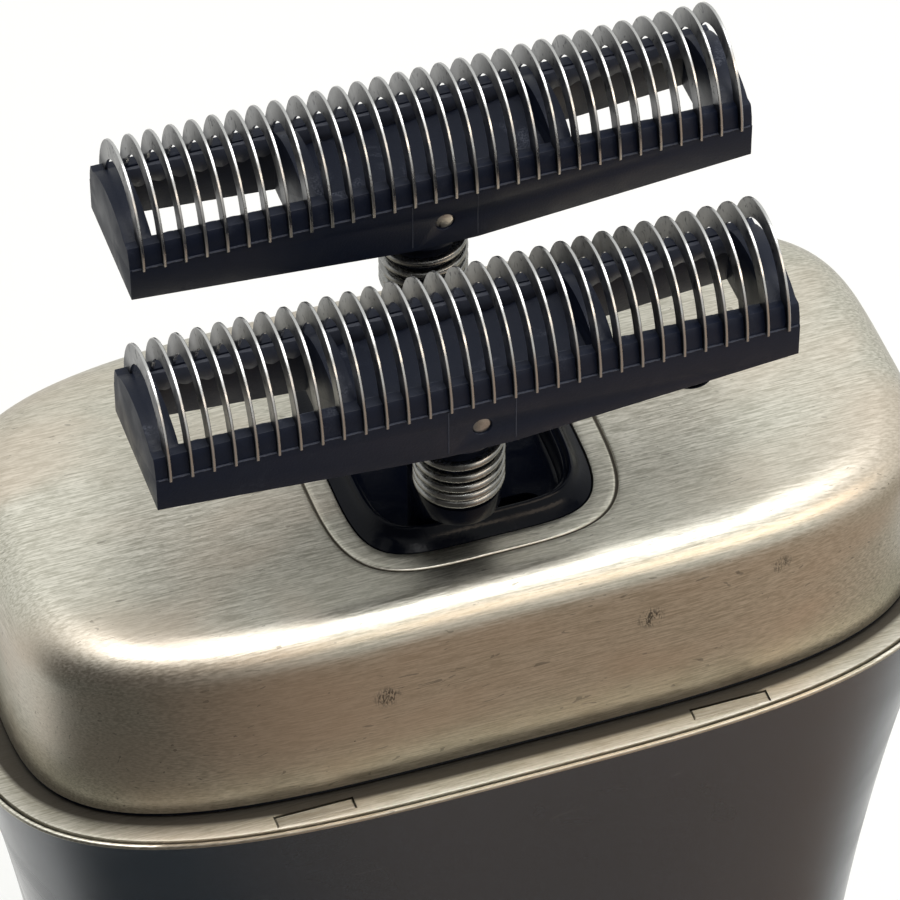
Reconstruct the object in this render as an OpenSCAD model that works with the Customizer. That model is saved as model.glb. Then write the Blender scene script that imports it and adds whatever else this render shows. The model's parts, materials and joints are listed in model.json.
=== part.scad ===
// Twin-blade foil shaver with its foil head taken off, standing on its base.
// X runs along the cutters, Y from front to back, Z up. The origin is the middle of the base.

/* [Body] */
// Height of the ledge that the foil head rests on
ledge_z = 96; // [80:1:110]
// Half width of the body at the ledge
ledge_a = 32.1; // [30:0.1:36]
// Half depth of the body at the ledge
ledge_b = 17.1; // [16:0.1:20]
// Half width that the body narrows towards
waist_a = 23.5; // [23:0.1:27]
// Height over which most of the narrowing happens
taper_h = 32; // [25:1:50]
// Squareness of the body's oval
body_n = 3.32; // [2.8:0.02:4]
// Wall of the two shells
shell_wall = 1.7; // [1.4:0.1:1.9]

/* [Deck cap] */
// Half width of the metal deck cap
deck_a = 29.2; // [28:0.1:30]
// Half depth of the metal deck cap
deck_b = 14.55; // [14.2:0.05:15]
// Height of the deck's top face above the ledge
deck_h = 13.15; // [12:0.05:16]
// Squareness of the deck's oval
deck_n = 3.8; // [3.2:0.05:4.5]
// Round along the deck's top edge
deck_round = 2.4; // [1.5:0.1:3]
// Wall of the deck cap
deck_wall = 1.2; // [1:0.1:1.4]
// Distance of the bright plug from the middle
plug_x = 16; // [15:0.1:19]

/* [Cutters] */
// Overall length of a cutter
cutter_l = 39; // [36:0.5:42]
// Distance of each cutter's middle line from the centre
cutter_y = 8.45; // [8.2:0.05:9]
// Number of fins on a cutter
fin_count = 30; // [20:1:34]
// Spacing of the fins
fin_pitch = 1.29; // [1.1:0.01:1.3]
// Thickness of a fin
fin_t = 0.18; // [0.14:0.02:0.4]
// Half width of a fin's arch
fin_a = 4.53; // [4.3:0.01:4.8]
// Rise of a fin's arch
fin_rise = 5.49; // [5:0.01:6]
// Height of the fins' feet above the deck
fin_foot = 15.2; // [14.8:0.1:16]
// Offset of each cutter from the middle at rest, half of the full stroke
stroke = 1.75; // [1:0.05:1.8]
// Height of the rocker pin above the deck
pin_z = 13.2; // [13:0.1:13.4]
// Radius of the rocker pin
pin_r = 0.6; // [0.5:0.05:0.7]

/* [Springs] */
// Mean radius of a cutter spring's coils
coil_r = 2.45; // [2.3:0.05:2.5]
// Radius of a cutter spring's wire
wire_r = 0.3; // [0.25:0.01:0.35]
// Height of the spring seat above the deck
seat_z = 4.6; // [4:0.1:5]
// Turns in a cutter spring
coil_turns = 5.5; // [4:0.5:6]

/* [Drive] */
// Radius of the crank's two eccentric discs
disc_r = 2.9; // [2.7:0.1:3]
// Radius of the motor shaft
shaft_r = 0.75; // [0.6:0.05:0.8]
// Radius of the guide rods
rod_r = 1; // [0.8:0.05:1.1]
// Running clearance on the rods, shaft, pins and plungers
run_gap = 0.05; // [0.03:0.01:0.08]

/* [Controls] */
// Height of the power button's middle
button_z = 52; // [48:1:54]
// Radius of the power button
button_r = 6.4; // [5:0.1:7]

/* [Hidden] */

$fn = 48;
eps = 0.01;
// Points round an oval
oval_steps = 64;
// Which cutter a shared module makes
front = -1;
back = 1;

deck_z = ledge_z + deck_h;
// How much of the narrowing in width the depth follows
depth_share = 0.6;
// Shells stand on the base cap
shell_z = 5;
// Rebate in the shells' mouth that takes the collar's flange
rim_w = 0.3;
flange_t = 1.1;
// Gap under the deck's wall, filled by the gasket
gasket_t = 0.3;

// Opening in the deck, the shallow pad round it, and the rubber boot
open_a = 7.75;
open_b = 9.15;
open_n = 4.87;
pad_a = 9.32;
pad_b = 10.64;
pad_n = 4.06;
pad_d = 0.15;
boot_rim = 0.9;
boot_floor = -2.2;
boot_lip = 1.3;

// Cutter heights, above the deck
fin_mid = 15.12;
arch_a = 4.15;
arch_rise = 3.8;
rail_b = 4.22;
rail_z = 12.87;
rail_mid_z = 11.4;
wall_top = 16.6;
plate_rise = 2.4;
floor_z = 15.3;
tongue_slot_z = 14.7;
wall_in = 3.1;
plate_t = 1.7;
rib_x = 7.74;
rib_t = 1.2;
boss_w = 4.1;
inner_arch_a = 3.4;
inner_arch_rise = 4.2;

// Plunger and seat heights, above the deck
flange_z = 9.5;
holder_z = 10.6;
tube_z = 6.4;
guide_top = 8.9;
tongue_z = 14.3;
seat_r = 2.5;
seat_drop = 1.2;

// Posts of the drive arms, where they pass the boot
post_y = 6.4;
post_w = 5;
post_t = 2;
slot_w = 2 * (post_w / 2 + stroke + 0.25);
skirt_w = slot_w + 2 * stroke + 0.6;

// Carriage levels, absolute
low_z = 95;
high_z = 98.5;
plate_h = 2.5;
rod_y = 10.6;
lug_r = 1.6;
lug_l = 9;
bracket_x = 15;

// Motor and frame levels, absolute
frame_z = 91;
frame_t = 2;
motor_z = 61;
motor_r = 10;
motor_flat = 7.7;
shelf_z = 59.2;

// Inside the handle
cell_r = 7;
cell_z = 8;
cell_l = 49;
cell_x = 7.4;
cell_y = 3.2;
board_y = -6.6;
board_t = 1;
board_z = 8.4;
board_top = 58;
pad_foot_a = 21.6;
pad_foot_b = 9.9;
pad_foot_t = 0.9;
base_screw_x = 18.4;
base_screw_y = 2;
deck_screw_x = 21;
deck_screw_y = 6;
retainer_a = 13.2;
retainer_b = 12.4;
retainer_in_a = 9.3;
retainer_in_b = 8.9;
retainer_screw_x = 11.4;
retainer_screw_y = 9.6;
retainer_screw_r = 0.7;
motor_screw_x = 6;
catch_x = 13.3;
catch_y = 15.55;
catch_l = 4.9;
catch_w = 0.8;
catch_h = 0.7;
plug_r = 1.2;
plug_hole_r = 1.5;
socket_y = -6.1;
// Inlet sleeve: outside length and width, and its wall
socket_l = 9;
socket_w = 3.2;
socket_wall = 0.3;
light_z = 36;

// Closed outline of a rounded, slightly square oval
function oval(a, b, n) = [
    for (i = [0:oval_steps - 1])
        let (t = 360 * i / oval_steps, c = cos(t), s = sin(t))
            [a * sign(c) * pow(abs(c), 2 / n), b * sign(s) * pow(abs(s), 2 / n)]
];

// Half width and half depth of the body at a height
function body_a(z) = waist_a + (ledge_a - waist_a) * exp(-(ledge_z - z) / taper_h);
function body_b(z) = ledge_b - depth_share * (ledge_a - body_a(z));

// Upper half of an ellipse, from right to left
function arch(a, rise, mid, steps) = [
    for (i = [0:steps]) let (t = 180 * i / steps) [a * cos(t), mid + rise * sin(t)]
];

// Skin over a stack of outlines, each [height, outline]
module loft(rings) {
    m = len(rings[0][1]);
    last = len(rings) - 1;
    points = [for (ring = rings) for (p = ring[1]) [p[0], p[1], ring[0]]];
    sides = [
        for (k = [0:last - 1]) for (i = [0:m - 1])
            [k * m + i, (k + 1) * m + i, (k + 1) * m + (i + 1) % m, k * m + (i + 1) % m]
    ];
    bottom = [for (i = [0:m - 1]) i];
    top = [for (i = [0:m - 1]) last * m + m - 1 - i];
    polyhedron(points, concat([bottom, top], sides));
}

// Straight-sided block on an oval
module oval_block(a, b, n, z0, z1) {
    translate([0, 0, z0]) linear_extrude(z1 - z0) polygon(oval(a, b, n));
}

// Solid of the body's outer shape between two heights, shrunk all round by inset
module body_solid(z0, z1, inset) {
    steps = 12;
    loft([
        for (k = [0:steps])
            let (z = z0 + (z1 - z0) * k / steps)
                [z, oval(body_a(z) - inset, body_b(z) - inset, body_n)]
    ]);
}

// Upright cylinder between two heights
module cylinder_up(z0, z1, r) {
    translate([0, 0, z0]) cylinder(h = z1 - z0, r = r);
}

// Places what holds the boot's retainer at its four screws, with the deck's top as height 0
module at_retainer_screws() {
    for (sx = [-1, 1]) for (sy = [-1, 1])
        translate([sx * retainer_screw_x, sy * retainer_screw_y, deck_z]) children();
}

// Rod along Y from y0 to y1
module rod_y(r, x, z, y0, y1) {
    translate([x, y1, z]) rotate([90, 0, 0]) cylinder(h = y1 - y0, r = r);
}

// Rod along X, centred on x
module rod_x(r, x, y, z, l) {
    translate([x - l / 2, y, z]) rotate([0, 90, 0]) cylinder(h = l, r = r);
}

// Block with rounded ends along X, standing on z0
module stadium(l, w, z0, h) {
    translate([0, 0, z0]) linear_extrude(h) {
        square([l - w, w], center = true);
        for (side = [-1, 1]) translate([side * (l - w) / 2, 0]) circle(w / 2);
    }
}

// Body shells, split along the parting line at y = 0
module shells() {
    difference() {
        body_solid(shell_z, ledge_z, 0);
        body_solid(shell_z - eps, ledge_z - flange_t + eps, shell_wall);
        oval_block(ledge_a - rim_w, ledge_b - rim_w, body_n, ledge_z - flange_t, ledge_z + eps);
        rod_y(button_r + 1.6, 0, button_z, -ledge_b, -5);
        rod_y(1.25, 0, light_z, -ledge_b, -5);
    }
}

module front_shell() {
    color("#3d3f43") intersection() {
        shells();
        translate([-50, -50, 0]) cube([100, 50, 120]);
    }
}

module rear_shell() {
    color("#3d3f43") intersection() {
        shells();
        translate([-50, 0, 0]) cube([100, 50, 120]);
    }
}

module base_cap() {
    cap_z = 0.4;
    edge = 1.4;
    color("#303236") difference() {
        union() {
            loft([
                for (k = [0:4])
                    let (t = 90 * k / 4, inset = edge * (1 - sin(t)), z = cap_z + edge * (1 - cos(t)))
                        [z, oval(body_a(z) - inset, body_b(z) - inset, body_n)],
                [shell_z, oval(body_a(shell_z), body_b(shell_z), body_n)]
            ]);
            oval_block(body_a(6) - shell_wall - 0.2, body_b(6) - shell_wall - 0.2, body_n, 3, 7);
        }
        oval_block(pad_foot_a + 0.2, pad_foot_b + 0.2, body_n, 0, pad_foot_t);
        for (side = [-1, 1]) translate([side * base_screw_x, base_screw_y, 0]) {
            cylinder(h = 8, r = 1.15);
            cylinder(h = 2.4, r = 2.2);
        }
        translate([0, socket_y, 0]) stadium(socket_l + 0.6, socket_w + 0.6, -1, 9);
    }
}

module base_pad() {
    color("#1d1e20") difference() {
        oval_block(pad_foot_a, pad_foot_b, body_n, 0, pad_foot_t);
        for (side = [-1, 1])
            translate([side * base_screw_x, base_screw_y, -1]) cylinder(h = 3, r = 2.5);
        translate([0, socket_y, 0]) stadium(socket_l + 1.6, socket_w + 1.6, -1, 3);
    }
}

module base_screws() {
    color("#8b8d90") for (side = [-1, 1]) translate([side * base_screw_x, base_screw_y, 0])
        difference() {
            union() {
                translate([0, 0, 1.1]) cylinder(h = 1.3, r = 2);
                translate([0, 0, 2.4]) cylinder(h = 9, r = 1);
            }
            for (turn = [0, 90]) rotate(turn) translate([-1.3, -0.25, 1]) cube([2.6, 0.5, 0.7]);
        }
}

// Latch plates of the foil head, let into the ledge, with a gap all round
module catch_blocks(gap) {
    for (sx = [-1, 1]) for (sy = [-1, 1])
        translate([sx * catch_x - catch_l / 2 - gap, sy * catch_y - catch_w / 2 - gap, ledge_z - catch_h])
            cube([catch_l + 2 * gap, catch_w + 2 * gap, catch_h + gap]);
}

module collar() {
    skirt_a = body_a(93) - shell_wall - 0.25;
    skirt_b = body_b(93) - shell_wall - 0.25;
    color("#b3aa98") difference() {
        union() {
            oval_block(ledge_a - rim_w - 0.12, ledge_b - rim_w - 0.12, body_n, ledge_z - flange_t, ledge_z);
            oval_block(skirt_a, skirt_b, body_n, 93.2, ledge_z - 0.5);
        }
        oval_block(skirt_a - 1.4, skirt_b - 1.4, body_n, 90, ledge_z + 1);
        catch_blocks(0.06);
    }
}

module head_catches() {
    color("#9c9484") catch_blocks(0);
}

module deck_gasket() {
    color("#151515") difference() {
        oval_block(deck_a - 0.75, deck_b - 0.75, deck_n, ledge_z, ledge_z + gasket_t);
        oval_block(deck_a - deck_wall, deck_b - deck_wall, deck_n, ledge_z - 1, ledge_z + 2);
    }
}

module deck_cap() {
    top = deck_z - deck_round;
    bosses = [for (sx = [-1, 1]) for (sy = [-1, 1]) [sx * deck_screw_x, sy * deck_screw_y]];
    boss_z = frame_z + 7.2;
    color("#b9b09d") difference() {
        union() {
            difference() {
                loft([
                    [ledge_z + gasket_t, oval(deck_a, deck_b, deck_n)],
                    for (k = [0:5])
                        let (t = 90 * k / 5, inset = deck_round * (1 - cos(t)))
                            [top + deck_round * sin(t), oval(deck_a - inset, deck_b - inset, deck_n)]
                ]);
                oval_block(deck_a - deck_wall, deck_b - deck_wall, deck_n, ledge_z, deck_z - deck_wall);
            }
            for (p = bosses) translate([p[0], p[1], boss_z]) cylinder(h = deck_z - 0.5 - boss_z, r = 2);
            at_retainer_screws() cylinder_up(boot_floor, -0.5, 1.6);
        }
        oval_block(open_a, open_b, open_n, deck_z - 5, deck_z + 1);
        oval_block(pad_a, pad_b, pad_n, deck_z - pad_d, deck_z + 1);
        for (p = bosses) translate([p[0], p[1], boss_z - 0.2]) cylinder(h = 7, r = 0.8);
        translate([plug_x, 0, deck_z - 3]) cylinder(h = 4, r = plug_hole_r);
        at_retainer_screws() cylinder_up(boot_floor - 1, -0.55, retainer_screw_r);
    }
}

// Bright plug beside the opening, with a domed face
module deck_plug() {
    dome_r = 4;
    color("#dcdcd8") translate([plug_x, 0, 0]) intersection() {
        translate([0, 0, deck_z - 3]) cylinder(h = 4, r = plug_r);
        translate([0, 0, deck_z + 0.3 - dome_r]) sphere(r = dome_r);
    }
}

module plug_grommet() {
    color("#141414") translate([plug_x, 0, deck_z - 3]) difference() {
        cylinder(h = 2.95, r = plug_hole_r - 0.02);
        translate([0, 0, -1]) cylinder(h = 6, r = plug_r + 0.01);
    }
}

module deck_screws() {
    color("#8b8d90") for (sx = [-1, 1]) for (sy = [-1, 1])
        translate([sx * deck_screw_x, sy * deck_screw_y, 0]) {
            translate([0, 0, frame_z - 1.2]) cylinder(h = 1.2, r = 1.6);
            translate([0, 0, frame_z]) cylinder(h = 12, r = 0.8);
        }
}

// Openings in the boot's floor for the two posts
module post_slots(w, t, z0, h) {
    for (side = [front, back]) translate([0, side * post_y, 0]) stadium(w, t, z0, h);
}

module boot() {
    color("#101113") translate([0, 0, deck_z]) difference() {
        union() {
            oval_block(open_a + 1.8, open_b + 1.8, open_n, boot_floor, -deck_wall);
            oval_block(open_a - 0.05, open_b - 0.05, open_n, -deck_wall - eps, -0.2);
            oval_block(open_a - 0.5, open_b - 0.5, open_n, -0.3, boot_rim);
        }
        oval_block(open_a - boot_lip, open_b - boot_lip, open_n, boot_floor + 0.8, boot_rim + 1);
        post_slots(slot_w, post_t + 0.5, boot_floor - 1, 3);
    }
}

module boot_retainer() {
    color("#2a2b2e") translate([0, 0, deck_z]) difference() {
        oval_block(retainer_a, retainer_b, 5, boot_floor - 1, boot_floor);
        oval_block(retainer_in_a, retainer_in_b, 10, boot_floor - 2, boot_floor + 1);
        translate([0, 0, -deck_z]) at_retainer_screws()
            cylinder_up(boot_floor - 2, boot_floor + 2, retainer_screw_r + 0.05);
    }
}

module retainer_screws() {
    color("#8b8d90") at_retainer_screws() {
        cylinder_up(boot_floor - 2, boot_floor - 1, 1.3);
        cylinder_up(boot_floor - 2, -0.6, retainer_screw_r);
    }
}

// Plate that carries the motor and the brackets of the guide rods
module drive_frame() {
    color("#3a3c40") difference() {
        union() {
            oval_block(27, 12.6, body_n, frame_z, frame_z + frame_t);
            for (sx = [-1, 1]) for (sy = [-1, 1]) {
                translate([sx * bracket_x - 1.5, sy * rod_y - 1.6, frame_z]) cube([3, 3.2, 10.6]);
                translate([sx * deck_screw_x, sy * deck_screw_y, frame_z]) cylinder(h = 7.2, r = 2);
            }
        }
        translate([0, 0, frame_z - 1]) cylinder(h = 5, r = 2.95);
        for (side = [-1, 1])
            translate([side * motor_screw_x, 0, frame_z - 1]) cylinder(h = 5, r = 1.05);
        for (sx = [-1, 1]) for (sy = [-1, 1]) {
            translate([sx * deck_screw_x, sy * deck_screw_y, frame_z - 1]) cylinder(h = 10, r = 0.85);
            for (z = [low_z, high_z]) rod_x(rod_r, sx * bracket_x, sy * rod_y, z + plate_h / 2, 5);
        }
    }
}

module guide_rods() {
    color("#c9cbce") for (side = [-1, 1]) for (z = [low_z, high_z])
        rod_x(rod_r, 0, side * rod_y, z + plate_h / 2, 2 * bracket_x + 3);
}

module motor_can() {
    color("#b8babd") difference() {
        intersection() {
            translate([0, 0, motor_z]) cylinder(h = frame_z - motor_z, r = motor_r);
            translate([-15, -motor_flat, motor_z]) cube([30, 2 * motor_flat, 40]);
        }
        translate([0, 0, frame_z - 6]) cylinder(h = 7, r = shaft_r + run_gap);
        for (side = [-1, 1]) translate([side * motor_screw_x, 0, frame_z - 3]) cylinder(h = 4, r = 1);
    }
}

module motor_bushing() {
    color("#b5914c") difference() {
        translate([0, 0, frame_z]) cylinder(h = 1.8, r = 2.9);
        translate([0, 0, frame_z - 1]) cylinder(h = 4, r = shaft_r + run_gap);
    }
}

module motor_screws() {
    color("#8b8d90") for (side = [-1, 1]) translate([side * motor_screw_x, 0, 0]) {
        translate([0, 0, frame_z - 2.8]) cylinder(h = 2.8 + frame_t, r = 0.98);
        translate([0, 0, frame_z + frame_t]) cylinder(h = 1.1, r = 1.8);
    }
}

module motor_leads() {
    color("#a33328") for (side = [-1, 1])
        translate([side * 6, board_y + board_t / 2, board_top]) cylinder(h = motor_z - board_top, r = 0.5);
}

// Spine of the handle: board on its front face, cells behind it, motor on its shelf
module chassis() {
    spine_y = -5.2;
    bottom = 7.1;
    color("#55585c") difference() {
        union() {
            translate([-16.2, spine_y, bottom]) cube([32.4, 1, shelf_z - bottom]);
            translate([-14, spine_y, shelf_z]) cube([28, 12.9, 1.6]);
            for (side = [-1, 1]) {
                translate([side * 15.4 - 0.8, spine_y, bottom]) cube([1.6, 11, shelf_z - bottom]);
                translate([side * 12.3 - 1.2, -4, shelf_z]) cube([2.4, 8, frame_z - shelf_z]);
                translate([side * base_screw_x, base_screw_y, bottom]) cylinder(h = 6, r = 2.4);
            }
        }
        for (side = [-1, 1])
            translate([side * base_screw_x, base_screw_y, 0]) cylinder(h = 12, r = 1);
        translate([-5.2, -10, 0]) cube([10.4, 10, 8.8]);
    }
}

module battery_cells() {
    color("#2c6e8f") for (side = [-1, 1]) translate([side * cell_x, cell_y, cell_z]) {
        cylinder(h = cell_l, r = cell_r);
        translate([0, 0, cell_l]) cylinder(h = 0.8, r = 2.6);
    }
}

module battery_tabs() {
    color("#c4c2ba") for (z = [cell_z - 0.3, cell_z + cell_l + 0.8])
        translate([-cell_x - 2.5, cell_y - 2, z]) cube([2 * cell_x + 5, 4, 0.3]);
}

module circuit_board() {
    color("#1f5a3a") translate([-14.5, board_y, board_z]) cube([29, board_t, board_top - board_z]);
}

module board_parts() {
    color("#1b1b1d") {
        translate([-9, board_y - 1.1, 22]) cube([5, 1.1, 5]);
        translate([4, board_y - 0.9, 20]) cube([3.2, 0.9, 3.2]);
        translate([-11, board_y - 1.6, 42]) cube([4, 1.6, 4]);
        for (k = [0:3]) translate([2.5 + 2.2 * k, board_y - 0.6, 28]) cube([1.2, 0.6, 2]);
    }
}

module power_switch() {
    color("#c8c9cb") {
        translate([-3, board_y - 2.3, button_z - 3]) cube([6, 2.3, 6]);
        rod_y(1.6, 0, button_z, board_y - 2.8, board_y - 2.3);
    }
}

// Charging inlet, a flat metal sleeve with a tongue
module charge_socket() {
    color("#b9bbbe") translate([0, socket_y, 0]) {
        difference() {
            stadium(socket_l, socket_w, 0.9, 7.4);
            stadium(socket_l - 2 * socket_wall, socket_w - 2 * socket_wall, 0, 7.5);
        }
        translate([-3, -0.35, 2]) cube([6, 0.7, 5.6]);
    }
}

module charge_light() {
    color("#e6e6df") rod_y(1.2, 0, light_z, -body_b(light_z) - 0.05, board_y);
}

module button_bezel() {
    face = body_b(button_z);
    color("#a9a498") difference() {
        rod_y(button_r + 1.55, 0, button_z, -face - 0.35, -face + 1.8);
        rod_y(button_r + 0.15, 0, button_z, -face - 1, -face + 3);
    }
}

module power_button() {
    face = body_b(button_z);
    color("#2b2d31") {
        rod_y(button_r, 0, button_z, -face - 0.55, -face + 0.9);
        rod_y(2, 0, button_z, -face + 0.8, board_y - 3.7);
    }
}

module motor_shaft() {
    color("#d0d2d4") cylinder_up(frame_z - 5.5, high_z + plate_h, shaft_r);
}

// Two eccentric discs, half a turn apart, on one hub
module crank() {
    color("#d9d6cc") difference() {
        union() {
            translate([-stroke, 0, low_z]) cylinder(h = plate_h, r = disc_r);
            translate([0, 0, low_z + plate_h]) cylinder(h = high_z - low_z - plate_h, r = 1.6);
            translate([stroke, 0, high_z]) cylinder(h = plate_h, r = disc_r);
        }
        translate([0, 0, low_z - 1]) cylinder(h = 10, r = shaft_r);
    }
}

// Sliding plate round the crank. The upper one also clears the front post.
module carriage(side) {
    z = side == front ? low_z : high_z;
    reach = disc_r + 2 * stroke + 0.3;
    inner = disc_r + stroke + 0.3;
    near = side == front ? inner : 8.2;
    outer_x = reach + 2;
    near_y = side == front ? 8.6 : 9.2;
    far_y = side == front ? 7 : 8.6;
    lugs = [[-1, near_y], [1, far_y]];
    translate([side * stroke, 0, z]) difference() {
        union() {
            translate([-outer_x, -near_y, 0]) cube([2 * outer_x, near_y + far_y, plate_h]);
            for (lug = lugs) {
                rod_x(lug_r, 0, lug[0] * rod_y, plate_h / 2, lug_l);
                translate([-2, min(lug[0] * lug[1], lug[0] * rod_y), plate_h / 2 - 0.6])
                    cube([4, abs(rod_y - lug[1]), 1.2]);
            }
        }
        translate([-reach, side == front ? -inner : -near, -1])
            cube([2 * reach, side == front ? 2 * inner : near + inner, 5]);
        for (lug = lugs) rod_x(rod_r + run_gap, 0, lug[0] * rod_y, plate_h / 2, 20);
        translate([0, side * post_y, 0]) stadium(post_w, post_t, plate_h - 1.2, 2);
    }
}

module front_carriage() {
    color("#e4e1d8") carriage(front);
}

module back_carriage() {
    color("#e4e1d8") carriage(back);
}

// Post through the boot, stepped out to the cutter's middle line, with the spring's seat
module arm(side) {
    foot = (side == front ? low_z : high_z) + plate_h - 1.2;
    translate([side * stroke, 0, 0]) {
        translate([0, side * post_y, 0]) stadium(post_w, post_t, foot, deck_z + seat_z - foot);
        translate([-post_w / 2, side * (post_y + cutter_y) / 2 - 1.1, deck_z + seat_z - seat_drop])
            cube([post_w, 2.2, seat_drop]);
        translate([0, side * cutter_y, deck_z]) {
            translate([0, 0, seat_z - seat_drop]) cylinder(h = seat_drop, r = seat_r);
            cylinder_up(seat_z, guide_top, 1);
        }
    }
}

module front_arm() {
    color("#17181b") arm(front);
}

module back_arm() {
    color("#17181b") arm(back);
}

// Plate under the boot that keeps its slot covered
module skirt(side) {
    translate([side * stroke, side * post_y, deck_z + boot_floor - 0.8]) difference() {
        stadium(skirt_w, 4, 0, 0.5);
        stadium(post_w, post_t, -1, 3);
    }
}

module front_skirt() {
    color("#17181b") skirt(front);
}

module back_skirt() {
    color("#17181b") skirt(back);
}

// Open coil from the seat to the plunger's flange, wider spaced towards the top
module spring(side) {
    ring_steps = 14;
    wire_steps = 6;
    total = ceil(coil_turns * ring_steps);
    low = seat_z + wire_r;
    high = flange_z - wire_r;
    points = [
        for (k = [0:total])
            let (u = k / total, t = 360 * coil_turns * u, z = low + (high - low) * u * (0.55 + 0.45 * u))
                for (j = [0:wire_steps - 1])
                    let (w = 360 * j / wire_steps, r = coil_r + wire_r * cos(w))
                        [r * cos(t), r * sin(t), z + wire_r * sin(w)]
    ];
    sides = [
        for (k = [0:total - 1]) for (j = [0:wire_steps - 1])
            [
                k * wire_steps + j, k * wire_steps + (j + 1) % wire_steps,
                (k + 1) * wire_steps + (j + 1) % wire_steps, (k + 1) * wire_steps + j
            ]
    ];
    start = [for (j = [0:wire_steps - 1]) wire_steps - 1 - j];
    end = [for (j = [0:wire_steps - 1]) total * wire_steps + j];
    translate([side * stroke, side * cutter_y, deck_z]) polyhedron(points, concat([start, end], sides));
}

module front_spring() {
    color("#c3c4c2") spring(front);
}

module back_spring() {
    color("#c3c4c2") spring(back);
}

// Plunger: tube over the arm's guide pin, flange on the spring, tongue up into the cutter
module holder(side) {
    translate([side * stroke, side * cutter_y, deck_z]) difference() {
        union() {
            cylinder_up(tube_z, flange_z, 1.75);
            cylinder_up(flange_z, holder_z, 2.6);
            translate([-1, -2.5, holder_z - 0.1]) cube([2, 5, tongue_z - holder_z + 0.1]);
        }
        cylinder_up(tube_z - 1, holder_z - 0.25, 1 + run_gap);
        rod_y(pin_r + run_gap, 0, pin_z, -4, 4);
    }
}

module front_holder() {
    color("#1b1c1f") holder(front);
}

module back_holder() {
    color("#1b1c1f") holder(back);
}

module pin(side) {
    translate([side * stroke, side * cutter_y, deck_z]) rod_y(pin_r, 0, pin_z, -rail_b + 0.1, rail_b - 0.1);
}

module front_pin() {
    color("#c9c9c4") pin(front);
}

module back_pin() {
    color("#c9c9c4") pin(back);
}

// Upright plate across the cutter, arched on top, from x0 to x0 + t
module arch_plate(x0, t, a, rise, foot_z) {
    translate([x0, 0, 0]) rotate([90, 0, 90]) linear_extrude(t)
        polygon(concat(arch(a, rise, fin_mid, 20), [[-a, foot_z], [a, foot_z]]));
}

// Space between the walls, l long and centred on x, from z0 to z1
module pocket(x, l, z0, z1) {
    translate([x - l / 2, -wall_in, z0]) cube([l, 2 * wall_in, z1 - z0]);
}

// Black moulding of a cutter: rails and walls, end plates, ribs and the boss for the pin
module cutter_frame(side) {
    half = cutter_l / 2;
    rib_in = rib_x - rib_t / 2;
    rib_out = rib_x + rib_t / 2;
    translate([side * stroke, side * cutter_y, deck_z]) difference() {
        union() {
            intersection() {
                union() {
                    difference() {
                        arch_plate(-half, cutter_l, arch_a, arch_rise, 11);
                        translate([-half - 1, -rail_b - 1, wall_top])
                            cube([cutter_l + 2, 2 * rail_b + 2, 9]);
                    }
                    translate([-half, -rail_b, 11]) cube([cutter_l, 2 * rail_b, fin_foot - 11]);
                }
                translate([0, 10, 0]) rotate([90, 0, 0]) linear_extrude(20) polygon([
                    [-half, 20], [-half, rail_z], [-boss_w / 2, rail_mid_z],
                    [boss_w / 2, rail_mid_z], [half, rail_z], [half, 20]
                ]);
            }
            for (end = [-half, half - plate_t]) arch_plate(end, plate_t, arch_a, plate_rise, rail_z);
            for (x = [-rib_x, rib_x]) arch_plate(x - rib_t / 2, rib_t, arch_a - 0.3, plate_rise, 12.6);
        }
        for (end = [-1, 1]) {
            pocket(end * (rib_out + half - plate_t) / 2, half - plate_t - rib_out, 10, 22);
            pocket(end * (rib_in + boss_w / 2) / 2, rib_in - boss_w / 2, 10, 13.2);
        }
        pocket(0, 2 * rib_in, floor_z, 24);
        translate([-1.35, -2.7, 10]) cube([2.7, 5.4, tongue_slot_z - 10]);
        rod_y(pin_r, 0, pin_z, -9, 9);
    }
}

module front_frame() {
    color("#1c1d22") cutter_frame(front);
}

module back_frame() {
    color("#1c1d22") cutter_frame(back);
}

// Row of thin steel hoops, standing just proud of the moulding
module fins(side) {
    translate([side * stroke, side * cutter_y, deck_z]) for (k = [0:fin_count - 1])
        translate([(k - (fin_count - 1) / 2) * fin_pitch - fin_t / 2, 0, 0])
            rotate([90, 0, 90]) linear_extrude(fin_t) difference() {
                polygon(arch(fin_a, fin_rise, fin_mid, 18));
                polygon(arch(inner_arch_a, inner_arch_rise, fin_mid, 12));
                translate([-fin_a - 1, fin_mid - 1]) square([2 * fin_a + 2, fin_foot - fin_mid + 1]);
            }
}

module front_fins() {
    color("#b9bab8") fins(front);
}

module back_fins() {
    color("#b9bab8") fins(back);
}

front_shell();
rear_shell();
base_cap();
base_pad();
base_screws();
collar();
head_catches();
deck_gasket();
deck_cap();
deck_plug();
plug_grommet();
deck_screws();
boot();
boot_retainer();
retainer_screws();
drive_frame();
guide_rods();
motor_can();
motor_bushing();
motor_screws();
motor_leads();
chassis();
battery_cells();
battery_tabs();
circuit_board();
board_parts();
power_switch();
charge_socket();
charge_light();
button_bezel();
power_button();
motor_shaft();
crank();
front_carriage();
front_arm();
front_skirt();
front_spring();
front_holder();
front_pin();
front_frame();
front_fins();
back_carriage();
back_arm();
back_skirt();
back_spring();
back_holder();
back_pin();
back_frame();
back_fins();
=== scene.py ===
import json
import math

import bmesh
import bpy
import numpy as np
from mathutils import Matrix, Vector


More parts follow.
